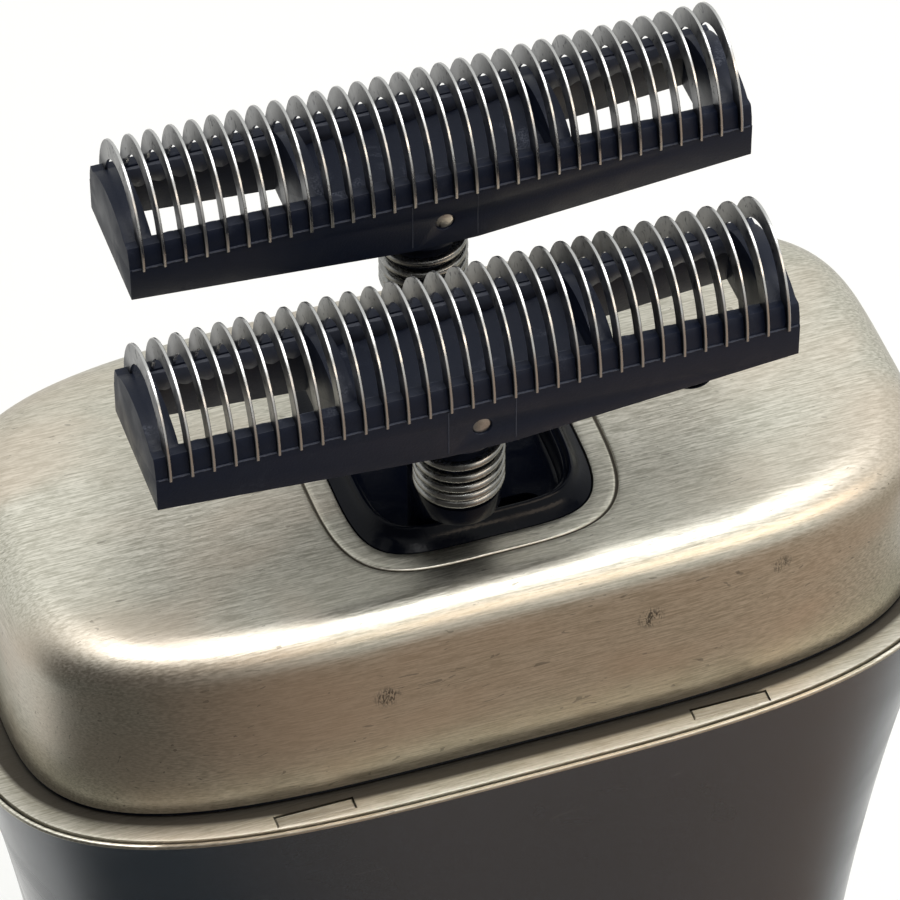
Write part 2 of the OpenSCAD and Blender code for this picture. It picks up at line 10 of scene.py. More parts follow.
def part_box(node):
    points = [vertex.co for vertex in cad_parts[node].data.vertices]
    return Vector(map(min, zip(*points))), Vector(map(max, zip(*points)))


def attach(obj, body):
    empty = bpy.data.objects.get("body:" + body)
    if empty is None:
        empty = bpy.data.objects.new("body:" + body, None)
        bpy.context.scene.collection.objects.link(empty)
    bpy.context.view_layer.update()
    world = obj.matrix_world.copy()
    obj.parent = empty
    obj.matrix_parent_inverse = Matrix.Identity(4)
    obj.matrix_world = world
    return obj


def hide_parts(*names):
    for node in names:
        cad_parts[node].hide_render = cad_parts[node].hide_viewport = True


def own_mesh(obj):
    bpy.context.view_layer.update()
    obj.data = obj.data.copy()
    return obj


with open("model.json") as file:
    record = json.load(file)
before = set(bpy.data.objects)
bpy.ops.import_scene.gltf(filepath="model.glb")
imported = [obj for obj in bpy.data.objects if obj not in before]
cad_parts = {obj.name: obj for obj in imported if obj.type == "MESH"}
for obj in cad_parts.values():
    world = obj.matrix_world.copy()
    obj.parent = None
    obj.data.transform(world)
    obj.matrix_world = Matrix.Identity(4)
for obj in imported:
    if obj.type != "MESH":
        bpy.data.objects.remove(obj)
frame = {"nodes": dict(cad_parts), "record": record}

# Twin-foil shaver with its foil head off. Lengths are millimetres until a mesh is made.
MM = 0.001
scene = bpy.context.scene
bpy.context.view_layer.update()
BODY = {n: b for b, ns in frame["record"]["behaviour"]["bodies"].items() for n in ns}


def cad_box(node):
    """Lowest and highest corner of a CAD node, in millimetres."""
    low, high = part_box(node)
    return low / MM, high / MM


# Sizes that the frame gives
ledge_z = cad_box("collar")[1].z
deck_high = cad_box("deck_cap")[1]
deck_z = deck_high.z
DECK_A, DECK_B = deck_high.x, deck_high.y
LEDGE_A, LEDGE_B = cad_box("front_shell")[1].x, cad_box("rear_shell")[1].y
STROKE = (cad_box("back_frame")[1].x + cad_box("back_frame")[0].x) / 2
CUTTER_Y = (cad_box("back_frame")[1].y + cad_box("back_frame")[0].y) / 2
HALF_L = (cad_box("back_frame")[1].x - cad_box("back_frame")[0].x) / 2
SIDES = {"front": -1, "back": 1}

# Shape of the body's and the deck's ovals
BODY_N, DECK_N, OPEN_N, PAD_N = 3.32, 3.8, 4.87, 4.06
WAIST_A, TAPER_H, DEPTH_SHARE = 23.5, 32, 0.6
SHELL_Z, SHELL_WALL, RIM_W, FLANGE_T, BEAD_H = 5, 1.7, 0.3, 1.1, 0.24
DECK_WALL, GASKET_T = 1.2, 0.3
ROUND_OUT, ROUND_UP, ROUND_N = 3.3, 3.0, 2.25
CATCH_X, CATCH_Y, CATCH_L, CATCH_W = 13.3, 15.55, 4.9, 0.8
OPEN_A, OPEN_B, PAD_A, PAD_B, PAD_D = 7.75, 9.15, 9.32, 10.64, 0.15

# Shape of a cutter, heights above the deck
FIN_COUNT, FIN_PITCH, FIN_T = 30, 1.29, 0.18
FIN_A, FIN_RISE, FIN_MID, FIN_FOOT = 4.53, 5.49, 15.12, 15.2
FIN_IN_A, FIN_IN_RISE = 3.4, 4.2
PLATE_T, RIB_X, WALL_TOP, WALL_IN, RAIL_B = 1.7, 7.74, 16.6, 3.1, 4.22
SEAT_Z, FLANGE_Z, COIL_R, WIRE_R, COIL_TURNS = 4.6, 9.5, 2.45, 0.3, 5.5

BUTTON_Z, BUTTON_R, LIGHT_Z = 52, 6.4, 36


# ---------------------------------------------------------------- materials

class Finish:
    """A Principled material whose look is worked out by nodes in the piece's own coordinates."""

    def __init__(self, name, colour, roughness, metallic=0.0, **sockets):
        self.material = bpy.data.materials.new(name)
        self.material.use_nodes = True
        self.tree = self.material.node_tree
        self.shader = self.tree.nodes["Principled BSDF"]
        self.shader.inputs["Base Color"].default_value = (*colour, 1)
        self.shader.inputs["Roughness"].default_value = roughness
        self.shader.inputs["Metallic"].default_value = metallic
        for socket, value in sockets.items():
            self.shader.inputs[socket.replace("_", " ")].default_value = value
        self.place = self.tree.nodes.new("ShaderNodeTexCoord").outputs["Object"]
        self.normal = self.tree.nodes.new("ShaderNodeNewGeometry").outputs["Normal"]

    def feed(self, socket, value):
        if isinstance(value, bpy.types.NodeSocket):
            self.tree.links.new(value, socket)
        else:
            socket.default_value = value

    def maths(self, operation, a, b=0.0):
        node = self.tree.nodes.new("ShaderNodeMath")
        node.operation = operation
        for socket, value in zip(node.inputs, (a, b)):
            self.feed(socket, value)
        return node.outputs[0]

    def noise(self, scale, detail=3.0, distortion=0.0, shift=(0, 0, 0)):
        """Noise from 0 to 1 with scale features a metre along X, Y and Z."""
        mapping = self.tree.nodes.new("ShaderNodeMapping")
        mapping.inputs["Scale"].default_value = scale
        mapping.inputs["Location"].default_value = shift
        self.feed(mapping.inputs["Vector"], self.place)
        node = self.tree.nodes.new("ShaderNodeTexNoise")
        node.inputs["Scale"].default_value = 1
        node.inputs["Detail"].default_value = detail
        node.inputs["Distortion"].default_value = distortion
        self.feed(node.inputs["Vector"], mapping.outputs["Vector"])
        return node.outputs["Fac"]

    def level(self, value, low, high, to_low=0.0, to_high=1.0):
        """value's stretch from low to high, eased and mapped to the given ends."""
        node = self.tree.nodes.new("ShaderNodeMapRange")
        node.interpolation_type = "SMOOTHSTEP"
        self.feed(node.inputs["Value"], value)
        for name, end in (("From Min", low), ("From Max", high), ("To Min", to_low), ("To Max", to_high)):
            node.inputs[name].default_value = end
        return node.outputs["Result"]

    def mix(self, share, a, b):
        node = self.tree.nodes.new("ShaderNodeMix")
        node.data_type = "RGBA"
        self.feed(node.inputs[0], share)
        for socket, colour in ((node.inputs[6], a), (node.inputs[7], b)):
            self.feed(socket, colour if isinstance(colour, bpy.types.NodeSocket) else (*colour, 1))
        return node.outputs[2]

    def axis(self, vector, name):
        node = self.tree.nodes.new("ShaderNodeSeparateXYZ")
        self.feed(node.inputs[0], vector)
        return node.outputs[name]

    def near(self, point, radius, soft):
        """1 within radius of a point, falling to 0 over soft, all in millimetres."""
        node = self.tree.nodes.new("ShaderNodeVectorMath")
        node.operation = "DISTANCE"
        self.feed(node.inputs[0], self.place)
        node.inputs[1].default_value = Vector(point) * MM
        return self.level(node.outputs["Value"], radius * MM, (radius + soft) * MM, 1.0, 0.0)

    def attribute(self, name):
        node = self.tree.nodes.new("ShaderNodeAttribute")
        node.attribute_name = name
        return node.outputs["Fac"]

    def colour(self, value):
        self.feed(self.shader.inputs["Base Color"], value)

    def rough(self, value):
        self.feed(self.shader.inputs["Roughness"], value)

    def bump(self, height, depth):
        """Raises the surface by up to depth millimetres where height is 1."""
        node = self.tree.nodes.new("ShaderNodeBump")
        node.inputs["Strength"].default_value = 1.0
        node.inputs["Distance"].default_value = depth * MM
        self.feed(node.inputs["Height"], height)
        self.feed(self.shader.inputs["Normal"], node.outputs["Normal"])


def brushed_metal(name, dark, light, warm, scuffs=()):
    """Metal brushed along X on the top, the front and the back, and along Y on the ends."""
    m = Finish(name, light, 0.26, 1.0, Anisotropic=0.25)
    ends = m.level(m.maths("ABSOLUTE", m.axis(m.normal, "X")), 0.6, 0.95)
    along_x = m.noise((520, 9500, 9500), 3)
    along_y = m.noise((9500, 520, 9500), 3)
    streaks = m.maths("ADD", m.maths("MULTIPLY", along_y, ends),
                      m.maths("MULTIPLY", along_x, m.maths("SUBTRACT", 1.0, ends)))
    fine = m.noise((2600, 9000, 9000), 2)
    grain = m.maths("ADD", m.maths("MULTIPLY", streaks, 0.7), m.maths("MULTIPLY", fine, 0.3))
    base = m.mix(m.level(grain, 0.32, 0.68), dark, light)
    blotches = m.noise((60, 90, 90), 2, 0.4)
    base = m.mix(m.level(blotches, 0.40, 0.72, 0.0, 0.55), base, warm)
    marks = m.level(m.noise((1900, 2300, 2300), 2, 0.0, (7, 3, 1)), 0.77, 0.82)
    hairs = m.level(m.noise((260, 1500, 900), 1, 4.0, (2, 9, 4)), 0.725, 0.735)
    marks = m.maths("MAXIMUM", marks, m.maths("MULTIPLY", hairs, 0.5))
    for point in scuffs:
        scratchy = m.level(m.noise((5200, 3000, 1500), 3, 1.5), 0.46, 0.58)
        spot = m.maths("MULTIPLY", m.near(point, 0.35, 0.75), scratchy)
        marks = m.maths("MAXIMUM", marks, spot)
    # Scuffs and hairlines, together with the per-point value, which holds painted shade on the ledge by the
    # deck's wall.
    marks_dust_and_shade = m.maths("MAXIMUM", m.maths("MULTIPLY", marks, 0.75), m.attribute("marks_dust_and_shade"))
    m.colour(m.mix(marks_dust_and_shade, base, (0.05, 0.042, 0.034)))
    m.rough(m.maths("ADD", m.level(grain, 0.3, 0.7, 0.31, 0.41), m.maths("MULTIPLY", marks_dust_and_shade, 0.25)))
    m.bump(grain, 0.010)
    return m.material


def moulded(name, colour, dust, roughness, grain_mm=0.12, depth=0.012, dust_from=0.56, shine=0.5):
    """Moulded plastic with a fine texture and a little dust in patches."""
    m = Finish(name, colour, roughness, Specular_IOR_Level=shine)
    scale = 1 / (grain_mm * MM)
    texture = m.noise((scale, scale, scale), 3)
    patches = m.noise((420, 420, 420), 4, 0.8)
    dusty = m.maths("MULTIPLY", m.level(patches, dust_from, 0.78), m.level(texture, 0.35, 0.7))
    up = m.level(m.axis(m.normal, "Z"), 0.1, 0.95, 0.12, 1.0)
    m.colour(m.mix(m.maths("MAXIMUM", m.maths("MULTIPLY", dusty, up), m.attribute("marks_dust_and_shade")), colour, dust))
    m.rough(m.level(patches, 0.3, 0.7, roughness - 0.07, roughness + 0.09))
    m.bump(texture, depth)
    return m.material


def plain_metal(name, colour, roughness, scale=(2200, 2200, 2200), depth=0.004):
    """Drawn, turned or stamped metal with a little variation."""
    m = Finish(name, colour, roughness, 1.0)
    noise = m.noise(scale, 4)
    darker = tuple(c * 0.72 for c in colour)
    m.colour(m.mix(m.level(noise, 0.3, 0.7), darker, colour))
    m.rough(m.level(noise, 0.3, 0.7, roughness * 0.8, roughness * 1.25))
    m.bump(noise, depth)
    return m.material


def fin_metal():
    """Thin etched sheet: bright on its edge, satin and speckled on its faces, which carry painted shade low
    down.
    """
    m = Finish("fin_steel", (0.72, 0.72, 0.71), 0.3, 1.0)
    face = m.level(m.maths("ABSOLUTE", m.axis(m.normal, "X")), 0.7, 0.95)
    specks = m.maths("MULTIPLY", m.level(m.noise((1900, 1900, 1900), 3, 0.8), 0.58, 0.68), face)
    clouds = m.noise((900, 900, 900), 3)
    satin = m.mix(m.level(clouds, 0.3, 0.7), (0.27, 0.27, 0.275), (0.50, 0.50, 0.495))
    base = m.mix(face, (0.62, 0.62, 0.62), satin)
    # Painted shade low down on the faces, from the per-point value.
    shade = m.maths("MULTIPLY", m.attribute("marks_dust_and_shade"), face)
    m.colour(m.mix(m.maths("MAXIMUM", m.maths("MULTIPLY", specks, 0.75), shade), base, (0.03, 0.033, 0.042)))
    m.rough(m.maths("ADD", m.level(clouds, 0.3, 0.7, 0.20, 0.34), m.maths("MULTIPLY", face, 0.12)))
    m.bump(clouds, 0.006)
    return m.material


def gloss_body():
    """Gloss dark metallic paint with faint smears and hairline scratches."""
    m = Finish("body_gunmetal", (0.03, 0.031, 0.035), 0.16, 0.35, Coat_Weight=0.4, Coat_Roughness=0.08)
    flake = m.noise((9000, 9000, 9000), 2)
    smears = m.noise((45, 45, 70), 4, 2.2)
    hair = m.level(m.noise((90, 90, 900), 2, 3.0), 0.715, 0.735)
    base = m.mix(m.level(flake, 0.35, 0.7), (0.015, 0.023, 0.034), (0.029, 0.040, 0.055))
    m.colour(m.mix(m.maths("MULTIPLY", hair, 0.25), base, (0.10, 0.10, 0.10)))
    m.rough(m.level(smears, 0.35, 0.72, 0.13, 0.30))
    m.bump(m.maths("ADD", m.maths("MULTIPLY", flake, 0.5), smears), 0.006)
    return m.material


DECK_FRONT = -DECK_B
SCUFFS = [(x, DECK_FRONT, deck_z + z) for x, z in ((-8.3, -5.7), (8.3, -4.6), (16.9, -3.35), (22.1, -7.3))]
LOOKS = {
    "champagne_steel": brushed_metal(
        "champagne_steel", (0.50, 0.48, 0.40), (0.82, 0.79, 0.70), (0.74, 0.61, 0.49), SCUFFS),
    "body_gunmetal": gloss_body(),
    "black_moulding": moulded(
        "black_moulding", (0.0075, 0.011, 0.0245), (0.10, 0.11, 0.145), 0.42, shine=0.24),
    "black_rubber": moulded(
        "black_rubber", (0.002, 0.003, 0.007), (0.05, 0.055, 0.065), 0.2, 0.3, 0.010, 0.7, 0.13),
    "fin_steel": fin_metal(),
    "spring_steel": plain_metal("spring_steel", (0.38, 0.38, 0.37), 0.24),
    "bright_plug": plain_metal("bright_plug", (0.86, 0.86, 0.84), 0.12),
    "steel_hardware": plain_metal("steel_hardware", (0.58, 0.58, 0.57), 0.3),
    "brass": plain_metal("brass", (0.70, 0.50, 0.22), 0.28),
    "dark_frame": moulded("dark_frame", (0.03, 0.031, 0.034), (0.10, 0.10, 0.10), 0.5),
    "white_acetal": moulded("white_acetal", (0.70, 0.68, 0.62), (0.55, 0.53, 0.48), 0.4),
    "cell_wrap": moulded("cell_wrap", (0.02, 0.12, 0.24), (0.06, 0.16, 0.26), 0.3, 0.4),
    "board_green": moulded("board_green", (0.012, 0.09, 0.045), (0.03, 0.12, 0.07), 0.3, 0.3),
    "lead_red": moulded("lead_red", (0.35, 0.02, 0.015), (0.4, 0.1, 0.08), 0.45),
    "light_pipe": moulded("light_pipe", (0.75, 0.75, 0.72), (0.6, 0.6, 0.58), 0.25, 0.4, 0.006),
    "button_gloss": moulded(
        "button_gloss", (0.022, 0.023, 0.027), (0.08, 0.08, 0.085), 0.24, 0.3, 0.006, 0.64),
}


# ---------------------------------------------------------------- mesh tools

RING = 224
SHARP = math.radians(38)


def oval(a, b, n, steps=RING):
    """Points at even distances round a slightly square oval, from +X anticlockwise."""
    t = np.linspace(0, 2 * math.pi, 6001)
    c, s = np.cos(t), np.sin(t)
    x = a * np.sign(c) * np.abs(c) ** (2 / n)
    y = b * np.sign(s) * np.abs(s) ** (2 / n)
    along = np.concatenate([[0], np.cumsum(np.hypot(np.diff(x), np.diff(y)))])
    u = np.linspace(0, along[-1], steps, endpoint=False)
    return np.column_stack([np.interp(u, along, x), np.interp(u, along, y)])


def oval_ring(a, b, n, z, steps=RING):
    return [(x, y, z) for x, y in oval(a, b, n, steps)]


def loft(rings, closed=False, caps=True):
    """Skin over rings of equal length. closed joins the last ring to the first, as round a tube."""
    m = len(rings[0])
    verts = [p for ring in rings for p in ring]
    pairs = [(k, k + 1) for k in range(len(rings) - 1)]
    if closed:
        pairs.append((len(rings) - 1, 0))
    faces = [
        (p * m + i, p * m + (i + 1) % m, q * m + (i + 1) % m, q * m + i)
        for p, q in pairs for i in range(m)
    ]
    if caps and not closed:
        faces += [tuple(reversed(range(m))), tuple((len(rings) - 1) * m + i for i in range(m))]
    return verts, faces


def join(*parts):
    """Several (verts, faces) as one."""
    verts, faces = [], []
    for part_verts, part_faces in parts:
        start = len(verts)
        verts += list(part_verts)
        faces += [tuple(i + start for i in f) for f in part_faces]
    return verts, faces


def piece(name, shape, nodes, slot, marks_dust_and_shade=None, body=None):
    """A mesh from (verts, faces), which stands for CAD nodes and rides on their body."""
    verts, faces = shape
    mesh = bpy.data.meshes.new(name)
    mesh.from_pydata([[c * MM for c in v] for v in verts], [], faces)
    work = bmesh.new()
    work.from_mesh(mesh)
    bmesh.ops.recalc_face_normals(work, faces=work.faces)
    work.to_mesh(mesh)
    work.free()
    # Per-point value that the finishes mix in: painted shade on the ledge by the deck's wall and low on the
    # fins, dust or darkening on other pieces.
    layer = mesh.attributes.new("marks_dust_and_shade", "FLOAT", "POINT")
    if marks_dust_and_shade is not None:
        layer.data.foreach_set("value", [float(marks_dust_and_shade(v)) for v in verts])
    return place(bpy.data.objects.new(name, mesh), nodes, slot, body)


def place(obj, nodes, slot, body=None):
    """Links, shades, finishes and attaches a new object."""
    scene.collection.objects.link(obj)
    obj.data.materials.clear()
    obj.data.materials.append(LOOKS[slot])
    obj.data.shade_smooth()
    obj.data.set_sharp_from_angle(angle=SHARP)
    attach(obj, body or BODY[nodes[0]])
    if nodes:
        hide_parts(*nodes)
    return obj


def rounded(node, slot, width):
    """A copy of a CAD node with its sharp edges rounded, which stands for it."""
    work = bmesh.new()
    work.from_mesh(frame["nodes"][node].data)
    bmesh.ops.remove_doubles(work, verts=work.verts, dist=0.002 * MM)
    bmesh.ops.dissolve_limit(work, angle_limit=math.radians(1), verts=work.verts, edges=work.edges)
    edges = [e for e in work.edges if e.is_manifold and e.calc_face_angle() > math.radians(30)]
    bmesh.ops.bevel(work, geom=edges, offset=width * MM, segments=2, profile=0.5,
                    affect="EDGES", clamp_overlap=True)
    bmesh.ops.recalc_face_normals(work, faces=work.faces)
    mesh = bpy.data.meshes.new(node + "_round")
    work.to_mesh(mesh)
    work.free()
    return place(bpy.data.objects.new(node + "_round", mesh), [node], slot)


def cut(obj, *shapes):
    """Takes closed shapes away from an object."""
    for shape in shapes:
        verts, faces = shape
        mesh = bpy.data.meshes.new("cutter")
        mesh.from_pydata([[c * MM for c in v] for v in verts], [], faces)
        work = bmesh.new()
        work.from_mesh(mesh)
        bmesh.ops.recalc_face_normals(work, faces=work.faces)
        work.to_mesh(mesh)
        work.free()
        tool = bpy.data.objects.new("cutter", mesh)
        scene.collection.objects.link(tool)
        step = obj.modifiers.new("cut", "BOOLEAN")
        step.operation = "DIFFERENCE"
        step.solver = "EXACT"
        step.object = tool
        bpy.context.view_layer.update()
        result = bpy.data.meshes.new_from_object(obj.evaluated_get(bpy.context.evaluated_depsgraph_get()))
        obj.modifiers.clear()
        obj.data = result
        bpy.data.objects.remove(tool)
    obj.data.set_sharp_from_angle(angle=SHARP)
    return obj


def turned(profile, centre, axis="Z", steps=64):
    """Lathe of (radius, height) points about an axis through centre. A closed profile makes a ring."""
    rings = []
    for r, h in profile:
        ring = []
        for i in range(steps):
            t = 2 * math.pi * i / steps
            p = Vector((r * math.cos(t), r * math.sin(t), h))
            if axis == "Y":
                p = Vector((p.x, p.z, p.y))
            ring.append(tuple(p + Vector(centre)))
        rings.append(ring)
    return rings


def stadium(length, width, x, y, z, steps=12):
    """Outline of a block with round ends along X."""
    reach = (length - width) / 2
    points = []
    for side, start in ((1, -90), (-1, 90)):
        for i in range(steps + 1):
            t = math.radians(start + 180 * i / steps)
            points.append((x + side * reach + width / 2 * math.cos(t), y + width / 2 * math.sin(t), z))
    return points


def block(x0, x1, y0, y1, z0, z1):
    """Closed box, for cutting."""
    ring = [(x0, y0), (x1, y0), (x1, y1), (x0, y1)]
    return loft([[(x, y, z) for x, y in ring] for z in (z0, z1)])


# ---------------------------------------------------------------- handle

def body_a(z):
    return WAIST_A + (LEDGE_A - WAIST_A) * math.exp(-(ledge_z - z) / TAPER_H)


def body_b(z):
    return LEDGE_B - DEPTH_SHARE * (LEDGE_A - body_a(z))


def shell(side):
    """One body shell: an outer and an inner skin, rounded at the seam and at both rims."""
    seam, edge = 0.03, 0.09
    levels = [(SHELL_Z, 0.1, SHELL_WALL), (SHELL_Z + 0.1, 0.02, SHELL_WALL)]
    levels += [(z, 0, SHELL_WALL) for z in np.linspace(SHELL_Z + 0.4, ledge_z - FLANGE_T, 56)]
    levels += [(ledge_z - FLANGE_T + 0.01, 0, RIM_W), (ledge_z - BEAD_H, 0, RIM_W)]
    rings = []
    for z, outer, inner in levels:
        loop = []
        for inset, order in ((outer, 1), (inner, -1)):
            a, b = body_a(z) - inset, body_b(z) - inset
            half = [(x, y) for x, y in oval(a, b, BODY_N) if y > 0.15][::order]
            ends = (half[0][0], half[-1][0])
            lip = edge if inset == outer else 0
            first = [(math.copysign(a - lip, ends[0]), seam), (math.copysign(a, ends[0]), seam + edge)]
            last = [(math.copysign(a, ends[1]), seam + edge), (math.copysign(a - lip, ends[1]), seam)]
            loop += [(x, side * y, z) for x, y in first + half + last]
        rings.append(loop)
    count = len(rings[0]) // 2
    verts, faces = loft(rings, caps=False)
    for start in (0, (len(rings) - 1) * 2 * count):
        faces += [
            (start + i, start + i + 1, start + 2 * count - 2 - i, start + 2 * count - 1 - i)
            for i in range(count - 1)
        ]
    return verts, faces


def make_handle():
    front = piece("shell_front", shell(-1), ["front_shell"], "body_gunmetal")
    hole = loft(turned([(BUTTON_R + 1.62, -LEDGE_B), (BUTTON_R + 1.62, -5)], (0, 0, BUTTON_Z), "Y", 96))
    lamp = loft(turned([(1.26, -LEDGE_B), (1.26, -5)], (0, 0, LIGHT_Z), "Y", 48))
    cut(front, hole, lamp)
    piece("shell_rear", shell(1), ["rear_shell"], "body_gunmetal")

    cap_z, edge = 0.4, 1.4
    rings = [oval_ring(body_a(cap_z) - 3.2, body_b(cap_z) - 3.2, BODY_N, cap_z)]
    for k in range(9):
        t = math.radians(90 * k / 8)
        z, inset = cap_z + edge * (1 - math.cos(t)), edge * (1 - math.sin(t))
        rings.append(oval_ring(body_a(z) - inset, body_b(z) - inset, BODY_N, z))
    plug_in = SHELL_WALL + 0.2
    rim = ((SHELL_Z - 0.16, 0), (SHELL_Z - 0.06, 0.05), (SHELL_Z - 0.03, 0.14),
           (SHELL_Z - 0.03, plug_in), (SHELL_Z + 2, plug_in))
    for z, inset in rim:
        rings.append(oval_ring(body_a(z) - inset, body_b(z) - inset, BODY_N, z))
    cap = piece("base_cover", loft(rings), ["base_cap"], "dark_frame")
    low, high = cad_box("base_screws")
    screw_r, hole_r, screw_y = 2, 2.2, (low.y + high.y) / 2
    holes = [loft(turned([(hole_r, -1), (hole_r, 2.4)], (x, screw_y, 0)))
             for x in (low.x + screw_r, high.x - screw_r)]
    socket = cad_box("charge_socket")
    socket_y = (socket[0].y + socket[1].y) / 2
    slot_l, slot_w, pad_a, pad_b = 9.6, 3.8, 21.8, 10.1
    slot_shape = loft([stadium(slot_l, slot_w, 0, socket_y, z) for z in (-1, 8)])
    pad_room = loft([oval_ring(pad_a, pad_b, BODY_N, z) for z in (-1, 0.9)])
    cut(cap, pad_room, slot_shape, *holes)
    rounded("base_pad", "black_rubber", 0.15)
    rounded("base_screws", "steel_hardware", 0.08)
    rounded("charge_socket", "steel_hardware", 0.08)

    face = body_b(BUTTON_Z)
    bezel = [(BUTTON_R + 0.15, -face + 1.8), (BUTTON_R + 0.15, -face + 0.1), (BUTTON_R + 0.22, -face - 0.18),
             (BUTTON_R + 0.45, -face - 0.33), (BUTTON_R + 0.95, -face - 0.35),
             (BUTTON_R + 1.35, -face - 0.24), (BUTTON_R + 1.55, -face - 0.02),
             (BUTTON_R + 1.55, -face + 1.8)]
    piece("button_ring", loft(turned(bezel, (0, 0, BUTTON_Z), "Y", 128), closed=True),
          ["button_bezel"], "champagne_steel")
    dish = [(BUTTON_R, -face + 0.9), (BUTTON_R, -face - 0.28), (BUTTON_R - 0.08, -face - 0.45),
            (BUTTON_R - 0.28, -face - 0.54), (BUTTON_R - 0.6, -face - 0.55)]
    dish += [(r, -face - 0.55 + 0.28 * (1 - (r / (BUTTON_R - 0.6)) ** 2)) for r in np.linspace(5.4, 0.05, 14)]
    stem_end = cad_box("power_button")[1].y
    stem = loft(turned([(2, -face + 0.8), (2, stem_end - 0.15), (1.85, stem_end)], (0, 0, BUTTON_Z), "Y"))
    key = loft(turned(dish, (0, 0, BUTTON_Z), "Y", 128))
    piece("button_key", join(key, stem), ["power_button"], "button_gloss")
    glow = cad_box("charge_light")
    lens = [(1.2, glow[1].y), (1.2, glow[0].y + 0.12), (1.12, glow[0].y + 0.04),
            (0.95, glow[0].y), (0.05, glow[0].y)]
    piece("light_lens", loft(turned(lens, (0, 0, LIGHT_Z), "Y", 48)), ["charge_light"], "light_pipe")


# ---------------------------------------------------------------- ledge and deck

def make_ledge():
    edge_a, edge_b = LEDGE_A - RIM_W - 0.12, LEDGE_B - RIM_W - 0.12
    skirt_z = ledge_z - 3
    skirt_a, skirt_b = body_a(skirt_z) - SHELL_WALL - 0.25, body_b(skirt_z) - SHELL_WALL - 0.25
    # The painted shade band by the deck's wall starts this far in from the ledge's edge, with a soft
    # boundary.
    low, wall_shade_in, fade = ledge_z - FLANGE_T, 1.1, 0.15
    profile = [(skirt_a - 1.4, skirt_b - 1.4, skirt_z + 0.2), (skirt_a - 1.4, skirt_b - 1.4, ledge_z),
               (edge_a - wall_shade_in - fade, edge_b - wall_shade_in - fade, ledge_z),
               (edge_a - wall_shade_in + fade, edge_b - wall_shade_in + fade, ledge_z),
               (edge_a - 0.22, edge_b - 0.22, ledge_z), (edge_a - 0.08, edge_b - 0.08, ledge_z - 0.04),
               (edge_a, edge_b, ledge_z - 0.16), (edge_a, edge_b, low), (skirt_a, skirt_b, low),
               (skirt_a, skirt_b, skirt_z + 0.2)]

    def painted_wall_shade(v):
        """Painted shade: near black in a band on the ledge close to the deck's wall, and darker further out.
        """
        x_share, y_share = abs(v[0]) / (edge_a - wall_shade_in), abs(v[1]) / (edge_b - wall_shade_in)
        reach = x_share ** BODY_N + y_share ** BODY_N
        return 0.93 if reach < 1 else 0.33

    ring = piece("ledge_ring", loft([oval_ring(a, b, BODY_N, z) for a, b, z in profile], closed=True),
                 ["collar"], "champagne_steel", painted_wall_shade)
    spots = [(sx * CATCH_X, sy * CATCH_Y) for sx in (-1, 1) for sy in (-1, 1)]
    half_l, half_w, gap = CATCH_L / 2, CATCH_W / 2, 0.06
    cut(ring, *[block(x - half_l - gap, x + half_l + gap, y - half_w - gap, y + half_w + gap,
                      ledge_z - 0.7, ledge_z + 1) for x, y in spots])
    # Painted shade by the deck's wall, set again on the ring after the cut.
    layer = ring.data.attributes["marks_dust_and_shade"]
    layer.data.foreach_set("value", [painted_wall_shade(v.co / MM) for v in ring.data.vertices])
    plates = []
    for x, y in spots:
        rings = []
        for z, inset in ((-0.7, 0), (-0.12, 0), (-0.04, 0.09)):
            l, w = half_l - inset, half_w - inset
            rings.append([(x - l, y - w, ledge_z + z), (x + l, y - w, ledge_z + z),
                          (x + l, y + w, ledge_z + z), (x - l, y + w, ledge_z + z)])
        plates.append(loft(rings))
    piece("catch_plates", join(*plates), ["head_catches"], "champagne_steel", lambda v: 0.42)
    foot, crown = 0.005, GASKET_T - 0.005
    band = [(-1.1, foot), (-0.14, foot), (-0.05, GASKET_T / 2), (-0.14, crown), (-1.1, crown)]
    rings = [oval_ring(DECK_A + out, DECK_B + out, DECK_N, ledge_z + z) for out, z in band]
    piece("gasket_band", loft(rings, closed=True), ["deck_gasket"], "black_rubber")

    bead = [(0.02, -BEAD_H), (0.0, -BEAD_H + 0.06), (0.03, -0.06), (0.09, -0.01), (RIM_W - 0.09, -0.01),
            (RIM_W - 0.04, -0.06), (RIM_W - 0.03, -BEAD_H)]
    rings = [oval_ring(LEDGE_A - inset, LEDGE_B - inset, BODY_N, ledge_z + z) for inset, z in bead]
    piece("rim_bead", loft(rings, closed=True), [], "champagne_steel", body=BODY["collar"])


